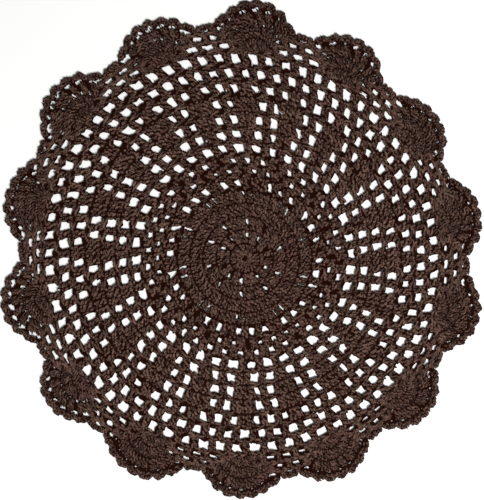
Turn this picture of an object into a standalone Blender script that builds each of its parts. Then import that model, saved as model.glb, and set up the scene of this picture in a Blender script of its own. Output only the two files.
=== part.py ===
# Crocheted lace placemat: one piece of brown cotton, worked in rounds from the middle and lying flat.
# Metres, +Z up. The origin is under the middle of the mat, on the surface that it lies on.
# Angles are in degrees, counter-clockwise from +X, about the point where the crochet was started.
import math
import random
from collections import namedtuple

import bmesh
import bpy
from mathutils.geometry import delaunay_2d_cdt

# Thickness of the fabric, from the flat underside up
RIM = 0.0026  # beside a hole and along the edge
GROOVE = 0.0030  # where two solid rounds meet
CROWN = 0.0037  # over solid stitches

# Solid middle: the outer radius of each of its rounds, and the spacing of its raised stitches
SOLID_ROUNDS = (0.0107, 0.0210, 0.0310, 0.0408, 0.0500, 0.0610, 0.0683, 0.0760)
RIDGE_SPACING = 0.0135

# Mesh rounds. Each repeat holds one hole for each offset, which is in degrees from the repeat's start.
HoleRound = namedtuple("HoleRound", "radius repeats offsets half_width half_height")
HOLE_ROUNDS = (
    HoleRound(0.0809, 40, (3.7,), 0.0036, 0.0031),
    HoleRound(0.0908, 20, (-3.9, 3.2), 0.0034, 0.0033),
    HoleRound(0.1013, 20, (3.0,), 0.0030, 0.0035),
    HoleRound(0.1125, 20, (-2.6, 2.6), 0.0029, 0.0035),
    HoleRound(0.1240, 20, (0.6,), 0.0028, 0.0031),
    HoleRound(0.1343, 70, (-0.5,), 0.0033, 0.0033),
    HoleRound(0.1453, 70, (2.3,), 0.0034, 0.0034),
)
HOLE_SIDES = 6
REPEATS_START = 7.75

# Solid petals between the columns of holes: where their raised points lie
PetalRow = namedtuple("PetalRow", "radius half_spread points")
PETALS = 20
PETAL_ROWS = (
    PetalRow(0.0908, 0, 1),
    PetalRow(0.1013, 1.6, 2),
    PetalRow(0.1125, 3.4, 3),
    PetalRow(0.1235, 1.4, 2),
)

# Scalloped edge: the peak of each scallop, and the notch that follows it
Scallop = namedtuple("Scallop", "top notch_angle notch_radius")
SCALLOPS = (
    Scallop(0.1808, 23.8, 0.1655),
    Scallop(0.1803, 49.3, 0.1680),
    Scallop(0.1855, 74.8, 0.1732),
    Scallop(0.1939, 100.0, 0.1782),
    Scallop(0.1927, 125.3, 0.1763),
    Scallop(0.1931, 152.0, 0.1757),
    Scallop(0.1860, 178.4, 0.1698),
    Scallop(0.1864, 205.0, 0.1690),
    Scallop(0.1845, 228.6, 0.1713),
    Scallop(0.1833, 256.3, 0.1640),
    Scallop(0.1806, 282.0, 0.1686),
    Scallop(0.1806, 306.8, 0.1663),
    Scallop(0.1812, 332.4, 0.1663),
    Scallop(0.1821, 358.2, 0.1693),
)
# Bumps along one scallop: how far along it they stand, and how far up from the notches to its peak
Bump = namedtuple("Bump", "along rise")
BUMPS = (
    Bump(0.150, 0.20),
    Bump(0.245, 0.63),
    Bump(0.365, 0.91),
    Bump(0.490, 1.00),
    Bump(0.615, 0.95),
    Bump(0.735, 0.69),
    Bump(0.830, 0.34),
    Bump(1.000, 0.00),
)
BUMP_DEPTH = 0.0026  # from a bump's crown down to the dips beside it
SHOULDER_ALONG = 0.42  # a bump's round shoulder: its share of the way from the dip to the crown
SHOULDER_UP = 0.86
SHELL_BASE = 0.1500  # radius at which the scallops' fans begin

# Raised points of one fan: along the scallop, and the share of the way from its base to its edge
FanPoint = namedtuple("FanPoint", "along out")
FAN_POINTS = (
    FanPoint(0.42, 0.12),
    FanPoint(0.57, 0.12),
    FanPoint(0.30, 0.46),
    FanPoint(0.43, 0.48),
    FanPoint(0.56, 0.48),
    FanPoint(0.69, 0.46),
    FanPoint(0.25, 0.74),
    FanPoint(0.37, 0.78),
    FanPoint(0.49, 0.79),
    FanPoint(0.61, 0.78),
    FanPoint(0.73, 0.74),
    FanPoint(1.00, 0.40),
)

# How the rounds lie: each is pulled out of true, the more the further out it is
LIE_RADIUS = 0.1453  # radius at which the pull below is whole
Pull = namedtuple("Pull", "waves stretch_cos stretch_sin turn_cos turn_sin")
PULLS = (
    Pull(1, -0.019, 0.021, 1.1, -0.3),
    Pull(2, -0.005, -0.013, -0.5, 0.5),
    Pull(3, 0.006, -0.003, -0.3, -0.1),
)
LOOSENESS = 0.0005  # how far a hole strays from its place
UNEVENNESS = 0.12  # how much a hole's size differs, as a share of it
SEED = 14

INSIDE_ONLY = 1  # the triangulation's way of keeping what lies inside the rims
SAME_POINT = 1e-7
BROWN = (0.0545, 0.0296, 0.0232, 1)
COTTON_ROUGHNESS = 0.9
SHARP_ANGLE = 40


def polar(angle, radius):
    return (radius * math.cos(math.radians(angle)), radius * math.sin(math.radians(angle)))


def laid(angle, radius):
    """A point of the true rounds, moved to where the mat's lie puts it."""
    amount = radius / LIE_RADIUS
    stretch = 1.0
    turn = 0.0
    for pull in PULLS:
        wave = math.radians(pull.waves * angle)
        stretch += amount * (pull.stretch_cos * math.cos(wave) + pull.stretch_sin * math.sin(wave))
        turn += pull.turn_cos * math.cos(wave) + pull.turn_sin * math.sin(wave)
    return polar(angle + turn, radius * stretch)


def hole_rims(chance):
    """One ring of points for each hole, uneven in place and size."""
    rims = []
    for ring in HOLE_ROUNDS:
        pitch = 360 / ring.repeats
        for repeat in range(ring.repeats):
            for offset in ring.offsets:
                angle = REPEATS_START + repeat * pitch + offset
                middle_x, middle_y = laid(angle, ring.radius)
                middle_x += chance.uniform(-LOOSENESS, LOOSENESS)
                middle_y += chance.uniform(-LOOSENESS, LOOSENESS)
                wide = ring.half_width * (1 + chance.uniform(-UNEVENNESS, UNEVENNESS))
                high = ring.half_height * (1 + chance.uniform(-UNEVENNESS, UNEVENNESS))
                facing = math.atan2(middle_y, middle_x)
                rim = []
                for side in range(HOLE_SIDES):
                    turn = 2 * math.pi * side / HOLE_SIDES
                    across = wide * math.sin(turn)
                    outward = high * math.cos(turn)
                    x = middle_x + outward * math.cos(facing) - across * math.sin(facing)
                    y = middle_y + outward * math.sin(facing) + across * math.cos(facing)
                    rim.append((x, y))
                rims.append(rim)
    return rims


def scallop_spans():
    """Each scallop with the notch before it and the notch after it."""
    spans = []
    for index, scallop in enumerate(SCALLOPS):
        before = SCALLOPS[index - 1]
        start = before.notch_angle - (360 if index == 0 else 0)
        spans.append((scallop, start, before.notch_radius))
    return spans


def edge_crowns():
    """Angle and radius of every bump's crown, once round the mat."""
    crowns = []
    for scallop, start, start_radius in scallop_spans():
        for bump in BUMPS:
            angle = start + bump.along * (scallop.notch_angle - start)
            foot = start_radius + bump.along * (scallop.notch_radius - start_radius)
            crowns.append((angle, foot + bump.rise * (scallop.top - foot)))
    return crowns


def edge_points():
    """The scalloped outline: a dip, a shoulder, a crown and a shoulder for each bump."""
    crowns = edge_crowns()
    points = []
    for index, (angle, radius) in enumerate(crowns):
        before_angle, before_radius = crowns[index - 1]
        if index == 0:
            before_angle -= 360
        after_angle, after_radius = crowns[(index + 1) % len(crowns)]
        if index == len(crowns) - 1:
            after_angle += 360
        dip_before = (angle + before_angle) / 2, (radius + before_radius) / 2 - BUMP_DEPTH
        dip_after = (angle + after_angle) / 2, (radius + after_radius) / 2 - BUMP_DEPTH
        points.append(polar(*dip_before))
        points.append(polar(*shoulder(dip_before, (angle, radius))))
        points.append(polar(angle, radius))
        points.append(polar(*shoulder(dip_after, (angle, radius))))
    return points


def shoulder(dip, crown):
    """A point of the bump's round side, nearly as high as its crown."""
    angle = dip[0] + SHOULDER_ALONG * (crown[0] - dip[0])
    radius = dip[1] + SHOULDER_UP * (crown[1] - dip[1])
    return angle, radius


def raised_points():
    """Points inside the outline with their height: ridges of the rounds, petals and fans."""
    points = []
    inner = 0.0
    for number, outer in enumerate(SOLID_ROUNDS):
        for radius, height in (((inner + outer) / 2, CROWN), (outer, GROOVE)):
            count = max(6, round(2 * math.pi * radius / RIDGE_SPACING))
            for step in range(count):
                angle = 360 * (step + 0.5 * (number % 2)) / count
                points.append((*laid(angle, radius), height))
        inner = outer
    for petal in range(PETALS):
        middle = REPEATS_START + 360 * (petal + 0.5) / PETALS
        for row in PETAL_ROWS:
            for place in range(row.points):
                share = 2 * place / (row.points - 1) - 1 if row.points > 1 else 0
                points.append((*laid(middle + share * row.half_spread, row.radius), CROWN))
    for scallop, start, start_radius in scallop_spans():
        for fan_point in FAN_POINTS:
            angle = start + fan_point.along * (scallop.notch_angle - start)
            edge = scallop.notch_radius if fan_point.along == 1 else scallop.top - BUMP_DEPTH
            radius = SHELL_BASE + fan_point.out * (edge - SHELL_BASE)
            points.append((*polar(angle, radius), CROWN))
    return points


def fill(rims, inside):
    """Triangles over the outline, rims[0], that leave the other rims open; inside points are used too."""
    points = []
    faces = []
    for rim in rims:
        faces.append(list(range(len(points), len(points) + len(rim))))
        points.extend(rim)
    points.extend(inside)
    result = delaunay_2d_cdt(points, [], faces, INSIDE_ONLY, SAME_POINT, True)
    triangles, from_points, from_faces = result[2], result[3], result[5]
    order = [sources[0] for sources in from_points]
    kept = [triangle for triangle, sources in zip(triangles, from_faces) if list(sources) == [0]]
    return [tuple(order[corner] for corner in triangle) for triangle in kept]


def build_mat():
    chance = random.Random(SEED)
    rims = [edge_points()] + hole_rims(chance)
    raised = raised_points()
    low_x, high_x = min(p[0] for p in rims[0]), max(p[0] for p in rims[0])
    low_y, high_y = min(p[1] for p in rims[0]), max(p[1] for p in rims[0])
    centre_x, centre_y = (low_x + high_x) / 2, (low_y + high_y) / 2

    mesh = bmesh.new()
    bottom = []
    top = []
    for rim in rims:
        for x, y in rim:
            bottom.append(mesh.verts.new((x - centre_x, y - centre_y, 0)))
            top.append(mesh.verts.new((x - centre_x, y - centre_y, RIM)))
    for x, y, height in raised:
        top.append(mesh.verts.new((x - centre_x, y - centre_y, height)))
    for corners in fill(rims, [point[:2] for point in raised]):
        mesh.faces.new([top[corner] for corner in corners])
    for corners in fill(rims, []):
        mesh.faces.new([bottom[corner] for corner in reversed(corners)])
    first = 0
    for rim in rims:
        for step in range(len(rim)):
            here = first + step
            following = first + (step + 1) % len(rim)
            mesh.faces.new((bottom[here], bottom[following], top[following], top[here]))
        first += len(rim)
    bmesh.ops.recalc_face_normals(mesh, faces=mesh.faces)
    bmesh.ops.triangulate(mesh, faces=mesh.faces)
    data = bpy.data.meshes.new("mat")
    mesh.to_mesh(data)
    mesh.free()
    data.shade_smooth()
    data.set_sharp_from_angle(angle=math.radians(SHARP_ANGLE))
    return data


def cotton():
    """Chocolate brown cotton yarn."""
    material = bpy.data.materials.new("brown cotton yarn")
    material.use_nodes = True
    shader = material.node_tree.nodes["Principled BSDF"]
    shader.inputs["Base Color"].default_value = BROWN
    shader.inputs["Roughness"].default_value = COTTON_ROUGHNESS
    shader.inputs["Metallic"].default_value = 0
    return material


for old in list(bpy.data.objects):
    bpy.data.objects.remove(old)

mat = bpy.data.objects.new("mat", build_mat())
mat.data.materials.append(cotton())
bpy.context.scene.collection.objects.link(mat)
print("mat", len(mat.data.polygons), "triangles", [round(side * 1000, 1) for side in mat.dimensions])
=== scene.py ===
import bpy
import bmesh
import math
import random
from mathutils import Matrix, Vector
from mathutils.geometry import delaunay_2d_cdt


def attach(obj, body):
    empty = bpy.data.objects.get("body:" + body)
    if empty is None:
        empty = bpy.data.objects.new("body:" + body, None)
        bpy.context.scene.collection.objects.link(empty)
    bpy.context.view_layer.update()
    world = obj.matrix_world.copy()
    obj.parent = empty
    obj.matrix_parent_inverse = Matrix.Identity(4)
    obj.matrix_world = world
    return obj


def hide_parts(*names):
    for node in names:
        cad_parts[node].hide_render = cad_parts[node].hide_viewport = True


# A crocheted cotton placemat, seen from straight above on a pale floor.
# Every stitch is real geometry: posts and the chain links between them, each of a few strands of yarn.
# Lengths are in millimetres until a piece is made, and angles in degrees, counter-clockwise from +X,
# both about the point where the crochet was started.

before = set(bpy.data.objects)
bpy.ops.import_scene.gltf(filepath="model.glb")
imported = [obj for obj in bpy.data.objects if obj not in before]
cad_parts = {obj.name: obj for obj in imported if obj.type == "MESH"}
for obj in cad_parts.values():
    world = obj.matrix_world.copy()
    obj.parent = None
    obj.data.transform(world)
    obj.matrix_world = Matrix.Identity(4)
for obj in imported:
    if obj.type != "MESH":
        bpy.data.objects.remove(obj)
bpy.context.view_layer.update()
mm = 0.001

# The work: how its rounds lie, and the yarn

work = {
    "start": 7.75,              # angle of the first column of holes
    "pullRadius": 145.3,        # where the pulls below are whole
    # waves round the mat, stretch (cos, sin) as a share of the radius, turn (cos, sin)
    "pulls": ((1, -0.019, 0.021, 1.1, -0.3), (2, -0.005, -0.013, -0.5, 0.5), (3, 0.006, -0.003, -0.3, -0.1)),
    "lean": 12.0,               # posts lean, their heads counter-clockwise of their feet
    "leanSwing": 7.0,           # the lean is stronger on one side of the mat
    "leanMost": 90.0,           # at this angle
    "leanChance": 15.0,         # how much more or less one post leans
    "leanRadius": 8.0,          # nearer the start, heads stand no further round than they would here
    "strayPost": 0.95,          # how far a post stands from its place, to either side
    "strayRadius": 40.0,        # less inside this radius
    "closeWork": 0.33,          # share of this and of leanChance where the posts stand close together
    "uneven": 0.27,             # how much a hole's sides differ, as a share of them
    "wedge": 36.0,              # angle of one repeat of the small holes
    "parting": 1.15,            # how far the posts on both sides of a small hole move from it
    "crowding": 1.25,           # how much wider a post's foot may be than its share of the round
    "flareBend": 1.3,           # 1 widens a post evenly towards its ends, more than 1 later
    "leastChain": 0.5,          # chain fills what is wider than this share of a link
    "leastSpace": 1.35,         # posts have a space between them from this many spacings apart
    "seed": 14,
}

# Peak radius of each scallop, then the angle and radius of the notch after it
scallops = (
    (180.8, 23.8, 165.5), (180.3, 49.3, 168.0), (185.5, 74.8, 173.2), (193.9, 100.0, 178.2),
    (192.7, 125.3, 176.3), (193.1, 152.0, 175.7), (186.0, 178.4, 169.8), (186.4, 205.0, 169.0),
    (184.5, 228.6, 171.3), (183.3, 256.3, 164.0), (180.6, 282.0, 168.6), (180.6, 306.8, 166.3),
    (181.2, 332.4, 166.3), (182.1, 358.2, 169.3),
)
# Bumps along a scallop: how far along, and how far up from the notches to the peak
bumps = (
    (0.150, 0.20), (0.245, 0.63), (0.365, 0.91), (0.490, 1.00),
    (0.615, 0.95), (0.735, 0.69), (0.830, 0.34), (1.000, 0.00),
)
bumpDepth = 2.6                 # of the dip before each bump
shoulder = (0.42, 0.86)         # of a bump, between dip and crown: share of the angle, and of the radius
# How loosely each fan is worked: 1 is loose
openness = (0.5, 0.8, 0.9, 1.1, 1.0, 1.1, 0.8, 1.1, 0.9, 0.4, 0.5, 0.4, 0.4, 0.6)

# Rounds: the part of the chart that they go to, outer radius, repeats, runs of posts in a repeat as (middle,
# count), spacing in a run, width of a post, and the clear size of the spaces between the runs. Where it isn't
# plain: thick and flare of the posts, and small holes, parted at these angles of a wedge, with the radius and
# half height of their slit.
freePost = {"width": 6.4, "thick": 1.06, "flare": -0.12}
rounds = (
    {"part": "middle", "outer": 10.7, "repeats": 12, "runs": ((0.0, 1),), "spacing": 4.6, "width": 4.6},
    {"part": "middle", "outer": 21.0, "repeats": 24, "runs": ((4.0, 1),), "spacing": 5.2, "width": 5.0,
     "parted": (4.4,), "slit": (18.0, 2.4)},
    {"part": "middle", "outer": 31.0, "repeats": 36, "runs": ((1.0, 1),), "spacing": 5.3, "width": 5.2,
     "parted": (5.4,), "slit": (27.5, 2.6)},
    {"part": "middle", "outer": 40.8, "repeats": 48, "runs": ((5.0, 1),), "spacing": 5.3, "width": 5.2},
    {"part": "middle", "outer": 50.0, "repeats": 60, "runs": ((5.8, 1),), "spacing": 5.2, "width": 5.2,
     "parted": (2.8, 9.8), "slit": (46.6, 3.2)},
    {"part": "middle", "outer": 61.0, "repeats": 10, "runs": ((10.4, 1), (20.4, 1), (33.5, 2)),
     "spacing": 6.2, "width": 6.0, "thick": 1.1, "gap": (3.8, 4.0)},
    {"part": "middle", "outer": 68.3, "repeats": 40, "runs": ((-2.3, 1),), "spacing": 7.2, "width": 7.0,
     "thick": 1.3, "gap": (1.9, 1.6)},
    {"part": "middle", "outer": 76.0, "repeats": 40, "runs": ((2.8, 1),), "spacing": 7.8, "width": 7.8,
     "thick": 1.3, "gap": (3.1, 2.9)},
    {"part": "mesh", "outer": 86.0, "repeats": 40, "runs": ((-0.8, 1),), "spacing": 5.0,
     "gap": (5.6, 4.6), **freePost},
    {"part": "mesh", "outer": 96.1, "repeats": 20, "runs": ((-0.35, 1), (8.65, 2)), "spacing": 4.9,
     "gap": (5.8, 5.4), **freePost},
    {"part": "mesh", "outer": 107.0, "repeats": 20, "runs": ((0.0, 1), (9.0, 3)), "spacing": 4.9,
     "gap": (4.9, 5.6), **freePost},
    {"part": "petals", "outer": 118.3, "repeats": 20, "runs": ((0.0, 1), (9.0, 4)), "spacing": 4.8,
     "gap": (4.8, 5.8), **freePost},
    {"part": "petals", "outer": 129.2, "repeats": 20, "runs": ((-2.05, 1), (3.3, 1), (9.65, 2)),
     "spacing": 4.8, "gap": (4.4, 4.8), **freePost},
    {"part": "border", "outer": 139.9, "repeats": 70, "runs": ((2.0, 1),), "spacing": 4.9,
     "gap": (5.4, 5.1), **freePost},
    {"part": "border", "outer": 150.2, "repeats": 70, "runs": ((-0.3, 1),), "spacing": 4.9,
     "gap": (5.6, 5.5), **freePost},
)
yarn = {
    "radius": 0.98,
    "sides": 5,
    "length": 4.2,              # of one visible strand
    # how it rises out of the fabric and goes under again: share of its length, height, share of the radius
    "rings": ((0.0, 1.3, 0.5), (0.3, 2.55, 1.0), (0.7, 2.6, 0.9), (1.0, 1.4, 0.45)),
    "fabric": 3.7,              # thickness of the mat; strands on its underside are turned over in it
    "stray": 0.5,               # how far a strand's ends stray
    "strayUp": 0.4,             # up and down, as a share of that
    "bow": 0.35,                # how far its middle bows sideways
    "thickness": 0.15,          # how much its width differs, as a share of it
    "shade": (-0.1, 0.9),       # how light it is, by chance
    "wobble": 0.3,              # unevenness of the yarn itself
    "wobbleSize": 2.2,
}
chance = random.Random(work["seed"])


def polar(angle, radius):
    return Vector((radius * math.cos(math.radians(angle)), radius * math.sin(math.radians(angle))))


def turnAt(angle):
    waves = [(math.radians(pull[0] * angle), pull) for pull in work["pulls"]]
    return sum(pull[3] * math.cos(wave) + pull[4] * math.sin(wave) for wave, pull in waves)


def laid(angle, radius):
    # a point of the true rounds, where the mat's lie puts it
    waves = [(math.radians(pull[0] * angle), pull) for pull in work["pulls"]]
    stretch = sum(pull[1] * math.cos(wave) + pull[2] * math.sin(wave) for wave, pull in waves)
    return polar(angle + turnAt(angle), radius * (1 + stretch * radius / work["pullRadius"]))


def acrossToAngle(width, radius):
    return math.degrees(width / radius)


# Outline of the edge, as in the CAD model

spans = [(peak, scallops[i - 1][1] - (360 if i == 0 else 0), scallops[i - 1][2], notch, notchRadius)
         for i, (peak, notch, notchRadius) in enumerate(scallops)]
crowns = []                     # angle and radius of every bump, eight for a scallop
for peak, start, startRadius, notch, notchRadius in spans:
    for along, rise in bumps:
        foot = startRadius + along * (notchRadius - startRadius)
        crowns.append((start + along * (notch - start), foot + rise * (peak - foot)))
dips = []                       # the dip before each bump
for i, (angle, radius) in enumerate(crowns):
    beforeAngle = crowns[i - 1][0] - (360 if i == 0 else 0)
    dips.append(((angle + beforeAngle) / 2, (radius + crowns[i - 1][1]) / 2 - bumpDepth))
edge = []
for i, crown in enumerate(crowns):
    nextAngle, nextRadius = dips[(i + 1) % len(dips)]
    after = (nextAngle + (360 if i == len(crowns) - 1 else 0), nextRadius)
    edge.append(polar(*dips[i]))
    for angle, radius in (dips[i], after):
        edge.append(polar(angle + shoulder[0] * (crown[0] - angle),
                          radius + shoulder[1] * (crown[1] - radius)))
    edge.insert(-1, polar(*crown))
centre = Vector(((min(p.x for p in edge) + max(p.x for p in edge)) / 2,
                 (min(p.y for p in edge) + max(p.y for p in edge)) / 2))
print("outline", len(crowns), "bumps, middle at", [round(c, 2) for c in centre])

# The chart: every visible strand of yarn as (foot, head, width, lift, 1 above or -1 on the underside).
# A stitch is drawn for one length and width, as strands of (sideways, along, sideways, along, lift).

post = {
    "length": 10.8, "width": 5.0,
    "above": ((-1.0, 0.5, -1.9, 4.6, 0.0), (1.8, 0.5, 0.8, 4.7, 0.0), (0.4, 0.4, -0.4, 3.6, -0.25),
              (1.7, 3.6, -1.3, 6.4, 0.3), (-1.0, 4.9, -1.9, 9.0, 0.0), (1.9, 5.0, 0.8, 9.3, 0.0),
              (0.5, 6.2, -0.3, 10.2, -0.1), (-0.3, 8.8, -2.5, 10.2, 0.1), (2.4, 10.4, 0.1, 9.1, 0.1)),
    "below": ((-1.2, -0.6, -2.0, 5.6, 0.0), (-1.2, 5.0, -2.0, 11.2, 0.0), (1.9, 1.0, 1.1, 7.3, 0.0),
              (1.9, 6.6, 1.1, 12.4, 0.0), (0.4, 3.6, -0.4, 9.4, 0.0)),
}
fanPost = {                     # looser, so that its two legs of yarn show
    "length": 10.8, "width": 5.0,
    "above": ((-0.9, 0.4, -1.9, 4.6, 0.0), (-0.6, 5.0, -1.9, 9.2, 0.0), (1.9, 0.6, 0.6, 4.6, 0.0),
              (2.0, 4.9, 0.7, 9.0, 0.0), (2.2, 3.4, -1.8, 6.2, 0.45), (0.5, 6.6, -0.3, 9.8, -0.1),
              (2.5, 10.2, 0.0, 9.1, 0.15), (-0.2, 9.0, -2.6, 10.0, 0.15)),
    "below": ((-0.8, -0.6, -1.6, 5.6, 0.0), (-0.8, 5.0, -1.6, 11.2, 0.0), (1.7, 1.0, 0.8, 7.3, 0.0),
              (1.7, 6.6, 0.8, 12.4, 0.0)),
}
chainLink = {
    "length": 5.2, "width": 5.0,
    "above": ((-1.6, -0.9, -0.8, 4.5, 0.0), (1.6, -0.7, 0.8, 4.8, 0.0), (0.3, 1.5, -0.3, 6.6, 0.0)),
    "below": ((0.7, -0.6, 0.4, 5.8, 0.0), (-0.8, -0.6, -0.5, 5.8, 0.0)),
}
edgeLink = {                    # a tight chain: two strands cross it, and one runs along each side
    "length": 5.2, "width": 5.0,
    "above": ((-1.5, 0.2, 1.3, 2.2, 0.1), (-1.5, 2.8, 1.3, 4.8, 0.1), (1.2, 0.4, 0.7, 4.6, -0.2),
              (-2.0, 0.4, -2.0, 5.0, -0.1)),
    "below": ((0.8, -0.6, 0.8, 5.8, 0.0), (-0.9, -0.6, -0.9, 5.8, 0.0)),
}
chart = {"middle": [], "mesh": [], "petals": [], "border": [], "fans": [], "gaps": [], "edging": []}

# Rims of the spaces in the sheet of yarn between the strands above and below. Places of a rim's corners and
# sides are shares of its half width and half height.
opening = {
    "corner": 0.97, "side": 0.95,
    "reach": (0.76, 1.2),       # how much nearer or further each one is, by chance
    "jitter": 0.32,             # how far it strays, as a share of the smaller half
    "under": (0.85, 0.8),       # how far the space goes on under the strands beside it, sideways and outwards
    "shear": -0.2,              # of the small holes, and the rest is for the slits of the solid middle
    "slitHalf": 2.1, "slitCorner": 0.85, "slitSide": 0.98,
}
openings = []


def workStitch(part, stitch, foot, head, footWidth, headWidth, flare=0.0, thick=1.0):
    # flare: how much wider a post is at its two ends than at its middle
    run = head - foot
    side = Vector((run.y, -run.x)).normalized()

    def spot(x, y):
        share = y / stitch["length"]
        wide = (footWidth + (headWidth - footWidth) * share) / stitch["width"]
        return foot + run * share + side * (x * wide * (1 + flare * abs(2 * share - 1) ** work["flareBend"]))

    for facing, strands in ((1, stitch["above"]), (-1, stitch["below"])):
        for x0, y0, x1, y1, rise in strands:
            width = thick * (1 + chance.uniform(-1, 1) * yarn["thickness"])
            chart[part].append((spot(x0, y0), spot(x1, y1), width, rise * facing, facing))


def addLinks(part, path, width=chainLink["width"], link=chainLink, thick=1.0):
    for foot, head in zip(path, path[1:]):
        workStitch(part, link, foot, head, width, width, thick=thick)


def addOpening(middle, outward, halfWidth, halfHeight, shear, corner=opening["corner"], side=opening["side"]):
    # a four-cornered rim with uneven sides; the shear carries its outer end sideways
    across = Vector((outward.y, -outward.x))
    rim = []
    jitter = opening["jitter"] * min(halfWidth, halfHeight)
    for x, y in ((side, 0), (corner, corner), (0, side), (-corner, corner),
                 (-side, 0), (-corner, -corner), (0, -side), (corner, -corner)):
        reach = chance.uniform(*opening["reach"])
        x = x * halfWidth * reach + chance.uniform(-jitter, jitter)
        y = y * halfHeight * reach + chance.uniform(-jitter, jitter)
        rim.append(middle + across * (x + shear * y) + outward * y)
    openings.append(rim)


def leanAt(angle):
    return work["lean"] + work["leanSwing"] * math.cos(math.radians(angle - work["leanMost"]))


def angleAfter(angles, i):
    # the next angle round the mat, more than a whole turn after the last one
    return angles[(i + 1) % len(angles)] + (360 if i == len(angles) - 1 else 0)


def workRound(inner, plan):
    outer, spacing, width, wedge = plan["outer"], plan["spacing"], plan["width"], work["wedge"]
    middle = (inner + outer) / 2
    free = 1 if "gap" in plan else work["closeWork"]
    posts = []
    for repeat in range(plan["repeats"]):
        for runMiddle, count in plan["runs"]:
            for place in range(count):
                stray = chance.uniform(-1, 1) * work["strayPost"] * free
                stray *= min(1, middle / work["strayRadius"])
                aside = acrossToAngle((place - (count - 1) / 2) * spacing + stray, middle)
                turn = repeat * 360 / plan["repeats"] + runMiddle + aside
                for hole in plan.get("parted", ()):
                    off = (turn - hole + wedge / 2) % wedge - wedge / 2     # from the nearest small hole
                    if abs(off) < acrossToAngle(spacing, middle):
                        turn += math.copysign(acrossToAngle(work["parting"], middle), off)
                posts.append((work["start"] + turn) % 360)
    posts.sort()
    thick = plan.get("thick", 1.0)
    footRoom = 2 * math.pi * inner / len(posts) * work["crowding"]
    heads = []
    for angle in posts:
        lean = leanAt(angle) + chance.uniform(-1, 1) * work["leanChance"] * free
        sideways = math.tan(math.radians(lean)) * (outer - inner) / 2
        shift = acrossToAngle(sideways, max(middle, work["leanRadius"]))
        workStitch(plan["part"], post, laid(angle - shift, inner), laid(angle + shift, outer),
                   min(width, footRoom), width, plan.get("flare", 0.0), thick)
        heads.append(angle + shift)
    half = acrossToAngle(spacing / 2, outer)
    for i, head in enumerate(heads):
        between = angleAfter(heads, i) - head - 2 * half
        gap = math.radians(between) * outer
        if gap > work["leastChain"] * chainLink["length"]:
            links = max(1, round(gap / chainLink["length"]))
            ends = [head + half + between * step / links for step in range(links + 1)]
            addLinks(plan["part"], [laid(a, outer) for a in ends], thick=thick)
    if "gap" in plan:
        wide, high = plan["gap"]
        for i, angle in enumerate(posts):
            following = angleAfter(posts, i)
            if math.radians(following - angle) * middle < work["leastSpace"] * spacing:
                continue
            place = laid((angle + following) / 2, middle)
            shear = math.tan(math.radians(-leanAt((angle + following) / 2)))
            some = 1 + chance.uniform(-1, 1) * work["uneven"]
            other = 1 + chance.uniform(-1, 1) * work["uneven"]
            addOpening(place, place.normalized(), some * wide / 2 + opening["under"][0],
                       other * high / 2 + opening["under"][1], shear)


# The crochet starts from a small ring of chain
startRing = {"radius": 3.4, "links": 6, "width": 1.8}
inner = startRing["radius"]
ring = [polar(360 / startRing["links"] * step, inner) for step in range(startRing["links"] + 1)]
addLinks("middle", ring, startRing["width"])
for plan in rounds:
    workRound(inner, plan)
    inner = plan["outer"]

# Few small holes in the solid middle
for plan in rounds:
    if "slit" in plan:
        radius, halfHeight = plan["slit"]
        for repeat in range(round(360 / work["wedge"])):
            for offset in plan["parted"]:
                place = laid(work["start"] + repeat * work["wedge"] + offset, radius)
                addOpening(place, place.normalized(), opening["slitHalf"], halfHeight, opening["shear"],
                           opening["slitCorner"], opening["slitSide"])

# The scalloped edge: each fan is three rows of posts that spread from one arch of the last round,
# with chain loops round the outside; the three rows go on between two fans as open mesh

fan = {
    "nominal": 35.0,            # height that the distances below are for
    # for each row
    "rows": (0.8, 9.4, 18.0, 26.9),     # where they start and end, from the fan's root
    "parts": ("fans", "fans", "edging"),
    "posts": (8, 11, 16),
    "spread": (64.0, 63.0, 68.0),       # half angles
    "widths": (3.8, 4.2, 6.0),
    "flare": (0.0, 0.0, -0.4),
    "footShare": (0.62, 0.8, 0.8),      # width of a post's foot, as a share of its head's
    "footTurn": (0.97, 0.97, 0.93),     # how far round its foot stands, as a share of its head's turn
    # for the whole fan
    "stray": 3.0,               # degrees
    "lean": 0.35,               # share of the mat's lean
    "thick": 0.8,
    "tight": (1.1, 0.1),        # size of its stitches, and how much less for its openness
    "airy": (2.0, 0.8),         # the small holes open most in the loosest fans: factor, and what is taken off
    "pairs": (0.5, 1.5),        # degrees that the last row's posts move to make pairs, and more when airy
    "rootWidth": 9.0,
    "rootArch": (0.6, 2.0),     # height of the first row's feet, and how much lower the outer ones are
    "rootChain": (8.0, 13.0, 18.0),     # places of its links, to each side
    "chainArch": (2.4, 0.003),      # height of that chain, and its fall with the square of the place
    "chainWidth": 4.4,
    # holes under the loops, and slits at the last row's feet: distance, spacing in degrees, half width,
    # half height, the least and most of these, and shear
    "holes": ((27.7, 18.1, 2.5, 1.6, 0.75, 1.2, 0.0), (19.2, 18.1, 1.2, 2.0, 0.5, 1.2, -0.2)),
    "holesAside": 3,            # on each side of the middle one
    "corner": 0.8,
}
edgeLoop = {
    "inset": 2.2,               # the yarn's middle, inside the outline
    "dipMore": 0.9,             # and how much further in it is between two bumps
    "tangent": 2.2,             # half the straight part over a bump
    "width": 5.4,
    "thick": 0.96,
}
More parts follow.
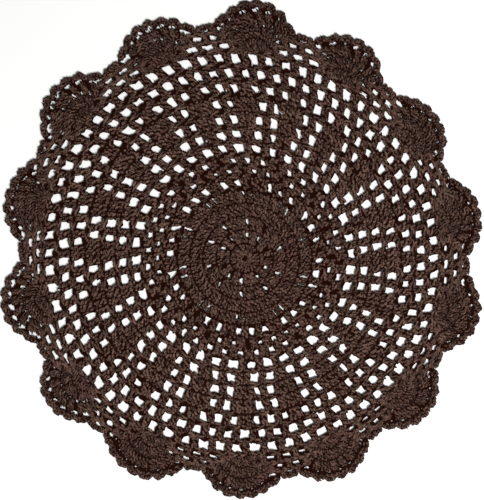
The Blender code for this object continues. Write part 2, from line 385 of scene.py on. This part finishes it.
# Sideways places are millimetres clockwise from the notch, and heights are from the last round
valley = {
    "nominal": 20.0,
    "inside": 8.0,              # sideways places are measured this far inside the notch
    "rows": (0.0, 6.8, 12.8, 16.4),
    "posts": ((-19.5, -6.5, 6.5, 19.5), (-12.8, 0.2, 13.0), (-6.4, 6.2)),
    "reach": (24.0, 15.5),      # how far the chains go to each side
    "width": 3.6,
    "flare": 0.3,
    "chain": 3.4,
    "tight": (1.12, 0.12),      # as in a fan, for the openness of the two fans beside it
    "stray": 0.8,
    "leanChance": 8.0,
    "holes": ((-13, 3.2, 4.2, 1.8), (0, 3.2, 4.3, 1.9), (13, 3.3, 4.3, 2.0), (-19, 9.8, 2.6, 2.1),
              (-6.3, 9.7, 3.4, 2.4), (6.6, 9.7, 3.5, 2.5), (19.5, 10.2, 3.2, 2.7), (-12.7, 14.8, 2.2, 1.6),
              (-0.4, 14.9, 3.2, 1.7), (12.5, 15.2, 3.1, 2.1)),
    "size": (0.75, 1.15),       # least and most of a hole
    "open": (0.15, 0.85),       # its share in the closest work, and how much more with openness
    "steady": 0.3,              # its width differs less than its height
    "margin": 0.1,
}


def borderRadius(angle):
    return laid(angle - turnAt(angle), rounds[-1]["outer"]).length


def addLoop(first, crown, last):
    # chain over one bump, round the outside
    tangent = (last - first).normalized() * edgeLoop["tangent"]
    path = [first, crown - tangent, crown + tangent, last]
    addLinks("edging", path, edgeLoop["width"], edgeLink, edgeLoop["thick"])


for index, (peak, start, startRadius, notch, notchRadius) in enumerate(spans):
    middleAngle = (start + notch) / 2
    root = polar(middleAngle, borderRadius(middleAngle))
    outward = root.normalized()
    right = Vector((outward.y, -outward.x))
    size = (peak - root.length) / fan["nominal"]
    firstBump = index * len(bumps)
    lastBump = firstBump + len(bumps) - 1

    def fanPoint(turn, distance):
        # turn is clockwise from the middle of the fan
        way = math.radians(turn)
        return root + (right * math.sin(way) + outward * math.cos(way)) * distance * size

    lean = leanAt(middleAngle) * fan["lean"]
    tight = fan["tight"][0] - fan["tight"][1] * openness[index]
    airy = max(openness[index], fan["airy"][0] * openness[index] - fan["airy"][1])
    archRise, archFall = fan["rootArch"]
    for row, count in enumerate(fan["posts"]):
        inRow, outRow = fan["rows"][row:row + 2]
        for place in range(count):
            share = 2 * place / (count - 1) - 1
            turn = share * fan["spread"][row]
            if fan["parts"][row] == "edging":
                turn += (fan["pairs"][0] + fan["pairs"][1] * airy) * (1 if place % 2 == 0 else -1)
            turn += chance.uniform(-fan["stray"], fan["stray"])
            foot = fanPoint(turn * fan["footTurn"][row] + lean, inRow)
            if row == 0:
                foot = root + right * (fan["rootWidth"] * share)
                foot += outward * (archRise - archFall * share * share)
            head = fanPoint(turn - lean, outRow)
            wide = fan["widths"][row] * tight
            workStitch(fan["parts"][row], fanPost, foot, head, wide * fan["footShare"][row], wide,
                       fan["flare"][row], tight * fan["thick"])

    # the last round's chain shows beside the fan's root
    chainRise, chainFall = fan["chainArch"]
    for way in (-1, 1):
        path = [root + right * (way * aside) + outward * (chainRise - chainFall * aside * aside)
                for aside in fan["rootChain"]]
        addLinks("fans", path, fan["chainWidth"])

    for bump in range(firstBump, lastBump):
        addLoop(*[p - (p - root).normalized() * (edgeLoop["inset"] + more) for p, more in (
            (polar(*dips[bump]), edgeLoop["dipMore"]), (polar(*crowns[bump]), 0),
            (polar(*dips[bump + 1]), edgeLoop["dipMore"]))])
    for distance, spacing, halfWidth, halfHeight, least, most, shear in fan["holes"]:
        for place in range(-fan["holesAside"], fan["holesAside"] + 1):
            some = chance.uniform(least, most) * airy
            middle = fanPoint(place * spacing, distance)
            addOpening(middle, (middle - root).normalized(), halfWidth * some, halfHeight * some, shear,
                       corner=fan["corner"])

    # the open mesh after this fan, about its notch
    loose = (openness[index] + openness[(index + 1) % len(openness)]) / 2
    tight = valley["tight"][0] - valley["tight"][1] * loose
    rise = (notchRadius - borderRadius(notch)) / valley["nominal"]

    def notchPoint(aside, height):
        angle = notch - acrossToAngle(aside, notchRadius - valley["inside"])
        return polar(angle, borderRadius(angle) + height * rise)

    for row, places in enumerate(valley["posts"]):
        low, high = valley["rows"][row:row + 2]
        for aside in places:
            aside += chance.uniform(-valley["stray"], valley["stray"])
            lean = leanAt(notch) + chance.uniform(-valley["leanChance"], valley["leanChance"])
            shift = math.tan(math.radians(lean)) * (high - low) / 2
            wide = valley["width"] * tight
            foot, head = notchPoint(aside + shift, low), notchPoint(aside - shift, high)
            workStitch("gaps", post, foot, head, wide, wide, valley["flare"], tight)
    for height, reach in zip(valley["rows"][1:], valley["reach"]):
        links = round(2 * reach / chainLink["length"])
        row = [notchPoint(reach - 2 * reach * step / links, height) for step in range(links + 1)]
        addLinks("gaps", row, valley["chain"] * tight, thick=tight)
    steady, margin = valley["steady"], valley["margin"]
    for aside, height, halfWidth, halfHeight in valley["holes"]:
        some = chance.uniform(*valley["size"]) * (valley["open"][0] + valley["open"][1] * loose)
        middle = notchPoint(aside, height)
        addOpening(middle, middle.normalized(), halfWidth * (some + steady) / (1 + steady) + margin,
                   halfHeight * some + margin, opening["shear"])

    # the loop over the notch
    ends = [polar(angle, radius - edgeLoop["inset"])
            for angle, radius in (dips[lastBump], dips[(lastBump + 1) % len(dips)])]
    addLoop(ends[0], polar(notch, notchRadius - edgeLoop["inset"]), ends[1])

for part, stitches in chart.items():
    print("chart", part, len(stitches), "strands")

# One strand of yarn, from foot (y = 0) to head (y = 1)


def strandObject():
    mesh = bmesh.new()
    yarnMap = mesh.loops.layers.uv.new("yarn")      # millimetres along, turns round
    sides = yarn["sides"]
    rings = []
    for share, height, part in yarn["rings"]:
        turns = [2 * math.pi * step / sides for step in range(sides)]
        rings.append([mesh.verts.new((
            math.sin(turn) * yarn["radius"] * part * mm, share,
            (height + math.cos(turn) * yarn["radius"] * part) * mm)) for turn in turns])
    for number, (ring, following) in enumerate(zip(rings, rings[1:])):
        start, end = (yarn["rings"][n][0] * yarn["length"] for n in (number, number + 1))
        for step in range(sides):
            beside = (step + 1) % sides
            face = mesh.faces.new((ring[beside], ring[step], following[step], following[beside]))
            for loop, uv in zip(face.loops, ((start, step + 1), (start, step), (end, step), (end, step + 1))):
                loop[yarnMap].uv = (uv[0], uv[1] / sides)
    mesh.faces.new(rings[0])
    mesh.faces.new(rings[-1][::-1])
    bmesh.ops.recalc_face_normals(mesh, faces=mesh.faces)
    data = bpy.data.meshes.new("one strand")
    mesh.to_mesh(data)
    mesh.free()
    data.shade_smooth()
    return bpy.data.objects.new("one strand", data)


# Materials

def toLinear(code):
    parts = [int(code[i:i + 2], 16) / 255 for i in (1, 3, 5)]
    return [c / 12.92 if c <= 0.04045 else ((c + 0.055) / 1.055) ** 2.4 for c in parts] + [1.0]


def addNode(tree, kind, settings=None, links=None):
    node = tree.nodes.new(kind)
    for key, value in (settings or {}).items():
        if isinstance(key, int) or key in node.inputs:
            node.inputs[key].default_value = value
        else:
            setattr(node, key, value)
    for key, source in (links or {}).items():
        tree.links.new(source, node.inputs[key])
    return node


# Soft plied cotton, matt and not mercerised
cotton = {
    "dark": "#281711",
    "light": "#654c41",
    "red": "#502c2b",
    "paintedShade": "#1e0a06",           # painted shade: the colour the yarn darkens to between the strands
    "deep": (0.7, 1.6),         # the painted shade fades out from this distance off the fabric's middle to this one
    "ply": 2.6,                 # from one turn of a ply to the next
    "plies": 2,
    "roughness": 0.6,
    "specular": 0.13,
    "fibre": 0.5,               # sizes of the fibres, the mottling and the reddish patches
    "mottle": 5.0,
    "patch": 22.0,
    "patchRange": (0.55, 0.72),     # the patches start and are whole at these values of their noise
    "redness": 0.35,
    "mottleShare": 0.25,        # how much the mottling lightens the yarn, and the painted shade and highlight of the twist
    "plyShadeShare": 0.38,
    "fibreHeight": 0.5,         # beside the twist's
    "bump": 0.6,
    "relief": 0.22,
}


def cottonYarn(name, look):
    material = bpy.data.materials.new(name)
    material.use_nodes = True
    tree = material.node_tree
    tree.nodes.clear()
    uv = addNode(tree, "ShaderNodeUVMap", {"uv_map": "yarn"})
    place = addNode(tree, "ShaderNodeTexCoord")
    parts = addNode(tree, "ShaderNodeSeparateXYZ", links={0: uv.outputs["UV"]})
    along = addNode(tree, "ShaderNodeMath", {"operation": "MULTIPLY", 1: 1 / cotton["ply"]},
                    {0: parts.outputs["X"]})
    turns = addNode(tree, "ShaderNodeMath", {"operation": "MULTIPLY_ADD", 1: float(cotton["plies"])},
                    {0: parts.outputs["Y"], 2: along.outputs[0]})
    phase = addNode(tree, "ShaderNodeMath", {"operation": "MULTIPLY", 1: 2 * math.pi}, {0: turns.outputs[0]})
    twist = addNode(tree, "ShaderNodeMath", {"operation": "SINE"}, {0: phase.outputs[0]})
    fibre = addNode(tree, "ShaderNodeTexNoise", {"Scale": 1 / (cotton["fibre"] * mm), "Detail": 3.0,
                                                 "Roughness": 0.65}, {"Vector": place.outputs["Object"]})
    mottle = addNode(tree, "ShaderNodeTexNoise", {"Scale": 1 / (cotton["mottle"] * mm), "Detail": 4.0,
                                                  "Roughness": 0.7}, {"Vector": place.outputs["Object"]})
    patch = addNode(tree, "ShaderNodeTexNoise", {"Scale": 1 / (cotton["patch"] * mm), "Detail": 3.0},
                    {"Vector": place.outputs["Object"]})
    shade = addNode(tree, "ShaderNodeAttribute", {"attribute_name": "shade"})
    # the strand's lightness by chance and its piece's painted light, with the mottling
    toneWithPaintedLight = addNode(tree, "ShaderNodeMath", {"operation": "MULTIPLY_ADD", 1: cotton["mottleShare"]},
                   {0: mottle.outputs["Fac"], 2: shade.outputs["Fac"]})
    # painted shade and highlight: the yarn darker and brighter along the twist of its plies
    toneWithPlyShade = addNode(tree, "ShaderNodeMath",
                  {"operation": "MULTIPLY_ADD", 1: cotton["plyShadeShare"], "use_clamp": True},
                  {0: twist.outputs[0], 2: toneWithPaintedLight.outputs[0]})
    brown = addNode(tree, "ShaderNodeMix",
                    {"data_type": "RGBA", 6: toLinear(look["dark"]), 7: toLinear(look["light"])},
                    {0: toneWithPlyShade.outputs[0]})
    low, high = cotton["patchRange"]
    reddish = addNode(tree, "ShaderNodeMapRange",
                      {"From Min": low, "From Max": high, "To Min": 0.0, "To Max": cotton["redness"]},
                      {"Value": patch.outputs["Fac"]})
    colour = addNode(tree, "ShaderNodeMix", {"data_type": "RGBA", 7: toLinear(look["red"])},
                     {0: reddish.outputs["Result"], 6: brown.outputs[2]})
    # painted shade: the nearer the fabric's middle, down between the strands, the darker the yarn
    low, high = cotton["deep"]
    heights = addNode(tree, "ShaderNodeSeparateXYZ", links={0: place.outputs["Object"]})
    fromMiddle = addNode(tree, "ShaderNodeMath", {"operation": "SUBTRACT", 1: yarn["fabric"] / 2 * mm},
                         {0: heights.outputs["Z"]})
    outwards = addNode(tree, "ShaderNodeMath", {"operation": "ABSOLUTE"}, {0: fromMiddle.outputs[0]})
    depth = addNode(tree, "ShaderNodeMapRange", {"From Min": low * mm, "From Max": high * mm},
                    {"Value": outwards.outputs[0]})
    paintedShadeMix = addNode(tree, "ShaderNodeMix", {"data_type": "RGBA", 6: toLinear(look["paintedShade"])},
                       {0: depth.outputs["Result"], 7: colour.outputs[2]})
    height = addNode(tree, "ShaderNodeMath", {"operation": "MULTIPLY_ADD", 1: cotton["fibreHeight"]},
                     {0: fibre.outputs["Fac"], 2: twist.outputs[0]})
    bump = addNode(tree, "ShaderNodeBump", {"Strength": cotton["bump"], "Distance": cotton["relief"] * mm},
                   {"Height": height.outputs[0]})
    shader = addNode(tree, "ShaderNodeBsdfPrincipled",
                     {"Roughness": cotton["roughness"], "IOR": 1.5, "Specular IOR Level": look["specular"]},
                     {"Base Color": paintedShadeMix.outputs[2], "Normal": bump.outputs["Normal"]})
    addNode(tree, "ShaderNodeOutputMaterial", links={"Surface": shader.outputs["BSDF"]})
    return material


yarnMaterial = cottonYarn("soft plied cotton, chocolate brown", cotton)

# The tree that works the chart

def stitchTree():
    tree = bpy.data.node_groups.new("work the stitches", "GeometryNodeTree")
    tree.interface.new_socket("Geometry", in_out="INPUT", socket_type="NodeSocketGeometry")
    tree.interface.new_socket("Strand", in_out="INPUT", socket_type="NodeSocketObject")
    for name in ("Stray", "Bow", "Fabric", "Wobble", "Wobble Size"):
        tree.interface.new_socket(name, in_out="INPUT", socket_type="NodeSocketFloat")
    tree.interface.new_socket("Seed", in_out="INPUT", socket_type="NodeSocketInt")
    tree.interface.new_socket("Material", in_out="INPUT", socket_type="NodeSocketMaterial")
    tree.interface.new_socket("Geometry", in_out="OUTPUT", socket_type="NodeSocketGeometry")
    given = addNode(tree, "NodeGroupInput").outputs

    def attribute(name, kind="FLOAT"):
        return addNode(tree, "GeometryNodeInputNamedAttribute", {"data_type": kind, "Name": name}).outputs[0]

    def calc(operation, first, second, third=0.0):
        settings = {"operation": operation}
        links = {}
        for place, value in enumerate((first, second, third)):
            if isinstance(value, float):
                settings[place] = value
            else:
                links[place] = value
        return addNode(tree, "ShaderNodeMath", settings, links).outputs[0]

    shape = addNode(tree, "GeometryNodeObjectInfo", links={"Object": given["Strand"]})
    position = addNode(tree, "GeometryNodeInputPosition")
    kept = addNode(tree, "GeometryNodeStoreNamedAttribute",
                   {"data_type": "FLOAT_VECTOR", "domain": "POINT", "Name": "local"},
                   {"Geometry": shape.outputs["Geometry"], "Value": position.outputs[0]})
    placed = addNode(tree, "GeometryNodeInstanceOnPoints",
                     links={"Points": given["Geometry"], "Instance": kept.outputs[0]})
    real = addNode(tree, "GeometryNodeRealizeInstances", links={"Geometry": placed.outputs[0]})

    # each strand is stretched from its own foot to its own head
    local = addNode(tree, "ShaderNodeSeparateXYZ", links={0: attribute("local", "FLOAT_VECTOR")}).outputs
    number = attribute("number", "INT")
    ends = []
    most = (1, 1, yarn["strayUp"])
    for shift, end in ((1.0, "foot"), (2.0, "head")):
        stray = addNode(tree, "FunctionNodeRandomValue",
                        {"data_type": "FLOAT_VECTOR", 0: [-m for m in most], 1: most},
                        {"ID": number, "Seed": calc("ADD", given["Seed"], shift)})
        scaled = addNode(tree, "ShaderNodeVectorMath", {"operation": "SCALE"},
                         {0: stray.outputs[0], "Scale": given["Stray"]})
        ends.append(addNode(tree, "ShaderNodeVectorMath", {"operation": "ADD"},
                            {0: attribute(end, "FLOAT_VECTOR"), 1: scaled.outputs[0]}).outputs[0])
    foot, head = ends
    axis = addNode(tree, "ShaderNodeVectorMath", {"operation": "SUBTRACT"}, {0: head, 1: foot}).outputs[0]
    right = addNode(tree, "ShaderNodeVectorMath", {"operation": "CROSS_PRODUCT", 1: (0, 0, 1)}, {0: axis})
    side = addNode(tree, "ShaderNodeVectorMath", {"operation": "NORMALIZE"}, {0: right.outputs[0]}).outputs[0]
    arc = calc("MULTIPLY", local["Y"], calc("SUBTRACT", 1.0, local["Y"]))
    # the arc is a quarter at its middle, so four bows make a whole one
    bowed = addNode(tree, "FunctionNodeRandomValue", {"data_type": "FLOAT", 2: -4.0, 3: 4.0},
                    {"ID": number, "Seed": given["Seed"]}).outputs[1]
    bow = calc("MULTIPLY", arc, calc("MULTIPLY", bowed, given["Bow"]))
    facing = attribute("facing")
    # strands below are turned over, not mirrored, so their faces still look outwards
    turned = calc("MULTIPLY", local["X"], facing)
    sideways = calc("MULTIPLY_ADD", turned, attribute("width"), bow)
    below = calc("MULTIPLY", calc("MULTIPLY_ADD", facing, -0.5, 0.5), given["Fabric"])
    up = calc("ADD", calc("MULTIPLY_ADD", local["Z"], facing, below), attribute("lift"))
    onAxis = addNode(tree, "ShaderNodeVectorMath", {"operation": "MULTIPLY_ADD"},
                     {0: axis, 1: local["Y"], 2: foot})
    aside = addNode(tree, "ShaderNodeVectorMath", {"operation": "SCALE"}, {0: side, "Scale": sideways})
    upward = addNode(tree, "ShaderNodeCombineXYZ", links={"Z": up})
    both = addNode(tree, "ShaderNodeVectorMath", {"operation": "ADD"},
                   {0: onAxis.outputs[0], 1: aside.outputs[0]})
    place = addNode(tree, "ShaderNodeVectorMath", {"operation": "ADD"},
                    {0: both.outputs[0], 1: upward.outputs[0]})
    stretched = addNode(tree, "GeometryNodeSetPosition",
                        links={"Geometry": real.outputs[0], "Position": place.outputs[0]})

    # hand-worked yarn is never quite even
    noise = addNode(tree, "ShaderNodeTexNoise", {"Detail": 1.0},
                    {"Scale": calc("DIVIDE", 1.0, given["Wobble Size"])})
    centred = addNode(tree, "ShaderNodeVectorMath", {"operation": "SUBTRACT", 1: (0.5, 0.5, 0.5)},
                      {0: noise.outputs["Color"]})
    shake = addNode(tree, "ShaderNodeVectorMath", {"operation": "SCALE"},
                    {0: centred.outputs[0], "Scale": given["Wobble"]})
    last = addNode(tree, "GeometryNodeSetPosition",
                   links={"Geometry": stretched.outputs[0], "Offset": shake.outputs[0]})
    for name in ("local", "foot", "head", "width", "number", "lift", "facing"):
        last = addNode(tree, "GeometryNodeRemoveAttribute", {"Name": name}, {"Geometry": last.outputs[0]})
    finish = addNode(tree, "GeometryNodeSetMaterial", links={
        "Geometry": last.outputs[0], "Material": given["Material"]})
    addNode(tree, "NodeGroupOutput", links={"Geometry": finish.outputs[0]})
    return tree


strand = strandObject()
stitchNodes = stitchTree()


def workPart(name, strands, paintedLight):
    chances = random.Random(name)
    data = bpy.data.meshes.new(name)
    feet = [((s[0].x - centre.x) * mm, (s[0].y - centre.y) * mm, 0) for s in strands]
    heads = [((s[1].x - centre.x) * mm, (s[1].y - centre.y) * mm, 0) for s in strands]
    data.from_pydata(feet, [], [])
    columns = {
        "foot": ("FLOAT_VECTOR", feet), "head": ("FLOAT_VECTOR", heads),
        "number": ("INT", list(range(len(strands)))), "width": ("FLOAT", [s[2] for s in strands]),
        "lift": ("FLOAT", [s[3] * mm for s in strands]), "facing": ("FLOAT", [float(s[4]) for s in strands]),
        # shade: the strand's lightness by chance, plus its piece's painted light
        "shade": ("FLOAT", [chances.uniform(*yarn["shade"]) + paintedLight for s in strands]),
    }
    for key, (kind, values) in columns.items():
        column = data.attributes.new(key, kind, "POINT")
        for item, value in zip(column.data, values):
            if kind == "FLOAT_VECTOR":
                item.vector = value
            else:
                item.value = value
    points = bpy.data.objects.new(name + " chart", data)
    bpy.context.scene.collection.objects.link(points)
    settings = {
        "Strand": strand, "Stray": yarn["stray"] * mm, "Bow": yarn["bow"] * mm, "Fabric": yarn["fabric"] * mm,
        "Wobble": yarn["wobble"] * mm, "Wobble Size": yarn["wobbleSize"] * mm,
        "Seed": work["seed"], "Material": yarnMaterial,
    }
    modifier = points.modifiers.new("stitches", "NODES")
    modifier.node_group = stitchNodes
    for socket in stitchNodes.interface.items_tree:
        if socket.in_out == "INPUT" and socket.name in settings:
            modifier[socket.identifier] = settings[socket.name]
    evaluated = points.evaluated_get(bpy.context.evaluated_depsgraph_get())
    mesh = bpy.data.meshes.new_from_object(evaluated)
    points.modifiers.remove(modifier)
    bpy.data.objects.remove(points)
    mesh.name = name
    piece = bpy.data.objects.new(name, mesh)
    bpy.context.scene.collection.objects.link(piece)
    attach(piece, "root")
    print("made", name, sum(len(p.vertices) - 2 for p in mesh.polygons), "triangles")
    return piece


# Each piece with its part of the chart, and its painted light and shade: those that stand free beside
# the spaces are painted a little brighter, and the close work of the edge darker
pieces = [workPart(name, chart[part], paintedLight) for name, part, paintedLight in (
    ("solid_middle", "middle", 0.0), ("mesh_rounds", "mesh", 0.07), ("petal_rounds", "petals", 0.06),
    ("border_rounds", "border", 0.05), ("fans", "fans", -0.19), ("fan_gaps", "gaps", 0.02),
    ("edging", "edging", -0.14))]

# The sheet of yarn that fills the depth behind the stitches, painted dark for the shade between them

backing = {
    "low": 1.6, "high": 2.1,    # of its two faces
    "inset": 2.6,               # of its outer rim, inside the outline
    "weld": 1e-5,               # corners nearer than this are one
    # painted shade: darker than the strands in front of it
    "dark": "#190704", "light": "#210a06", "red": "#230909", "paintedShade": "#1b0804", "specular": 0.0,
}
insideFaces = 1                 # triangles are kept inside the rims only


def backingSheet():
    rims = []
    outline = []
    for i, point in enumerate(edge):
        ahead = edge[(i + 1) % len(edge)] - edge[i - 1]
        inward = Vector((-ahead.y, ahead.x)).normalized()
        outline.append(point + inward * backing["inset"])
    rims.append(outline)
    rims.extend(openings)
    points, faces = [], []
    for rim in rims:
        faces.append(list(range(len(points), len(points) + len(rim))))
        points.extend(rim)
    result = delaunay_2d_cdt(points, [], faces, insideFaces, backing["weld"], True)
    # inside the outline, the first rim, and inside none of the openings
    kept = [t for t, sources in zip(result[2], result[5]) if list(sources) == [0]]
    mesh = bmesh.new()
    top = [mesh.verts.new(((p.x - centre.x) * mm, (p.y - centre.y) * mm, backing["high"] * mm))
           for p in result[0]]
    faces = [mesh.faces.new([top[i] for i in corners]) for corners in kept]
    for vert in [v for v in mesh.verts if not v.link_faces]:
        mesh.verts.remove(vert)
    area = sum(f.calc_area() for f in faces)
    shell = bmesh.ops.extrude_face_region(mesh, geom=faces)
    for vert in shell["geom"]:
        if isinstance(vert, bmesh.types.BMVert):
            vert.co.z = backing["low"] * mm
    bmesh.ops.recalc_face_normals(mesh, faces=mesh.faces)
    data = bpy.data.meshes.new("backing")
    mesh.to_mesh(data)
    mesh.free()
    return data, area


backingData, clothArea = backingSheet()
backingMaterial = cottonYarn("soft plied cotton, in the shade of the stitches", backing)
ground = bpy.data.objects.new("backing", backingData)
ground.data.materials.append(backingMaterial)
bpy.context.scene.collection.objects.link(ground)
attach(ground, "root")
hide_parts("mat")
print("made backing", len(backingData.polygons), "faces, area", round(clothArea, 4))

# Floor, light and camera

studio = {
    "floorSize": 3.0,           # metres
    "floor": "#e2e2e0",
    "floorRoughness": 0.95,
    "sky": 0.35,
    "lamp": 26.5,               # watts
    "lampSize": 0.5,            # metres
    "lampPlace": (0.39, -0.45, 1.27),
    "lens": 100.0,
    "sensor": 36.0,
    "viewHeight": 375.0,        # millimetres from the bottom to the top of the picture
    "aim": (0.4, -0.4),         # millimetres
    "farthest": 10.0,           # metres that the camera sees
}


def makeFloor():
    mesh = bpy.data.meshes.new("floor")
    half = studio["floorSize"] / 2
    corners = [(-half, -half, 0), (half, -half, 0), (half, half, 0), (-half, half, 0)]
    mesh.from_pydata(corners, [], [(0, 1, 2, 3)])
    material = bpy.data.materials.new("matt white paper")
    material.use_nodes = True
    tree = material.node_tree
    shader = tree.nodes["Principled BSDF"]
    shader.inputs["Base Color"].default_value = toLinear(studio["floor"])
    shader.inputs["Roughness"].default_value = studio["floorRoughness"]
    mesh.materials.append(material)
    floor = bpy.data.objects.new("floor", mesh)
    bpy.context.scene.collection.objects.link(floor)


makeFloor()
world = bpy.data.worlds.new("studio")
bpy.context.scene.world = world
world.use_nodes = True
world.node_tree.nodes["Background"].inputs["Color"].default_value = (1, 1, 1, 1)
world.node_tree.nodes["Background"].inputs["Strength"].default_value = studio["sky"]

lamp = bpy.data.lights.new("lamp", "AREA")
lamp.energy = studio["lamp"]
lamp.size = studio["lampSize"]
lampObject = bpy.data.objects.new("lamp", lamp)
lampObject.location = studio["lampPlace"]
lampObject.rotation_euler = (-Vector(studio["lampPlace"])).to_track_quat("-Z", "Y").to_euler()
bpy.context.scene.collection.objects.link(lampObject)

camera = bpy.data.cameras.new("camera")
camera.lens = studio["lens"]
camera.sensor_width = studio["sensor"]
camera.clip_end = studio["farthest"]
cameraObject = bpy.data.objects.new("camera", camera)
distance = studio["viewHeight"] * mm * studio["lens"] / studio["sensor"]
cameraObject.location = (studio["aim"][0] * mm, studio["aim"][1] * mm, distance)
bpy.context.scene.collection.objects.link(cameraObject)
bpy.context.scene.camera = cameraObject
bpy.context.scene.view_settings.view_transform = "Standard"
print("stage set")
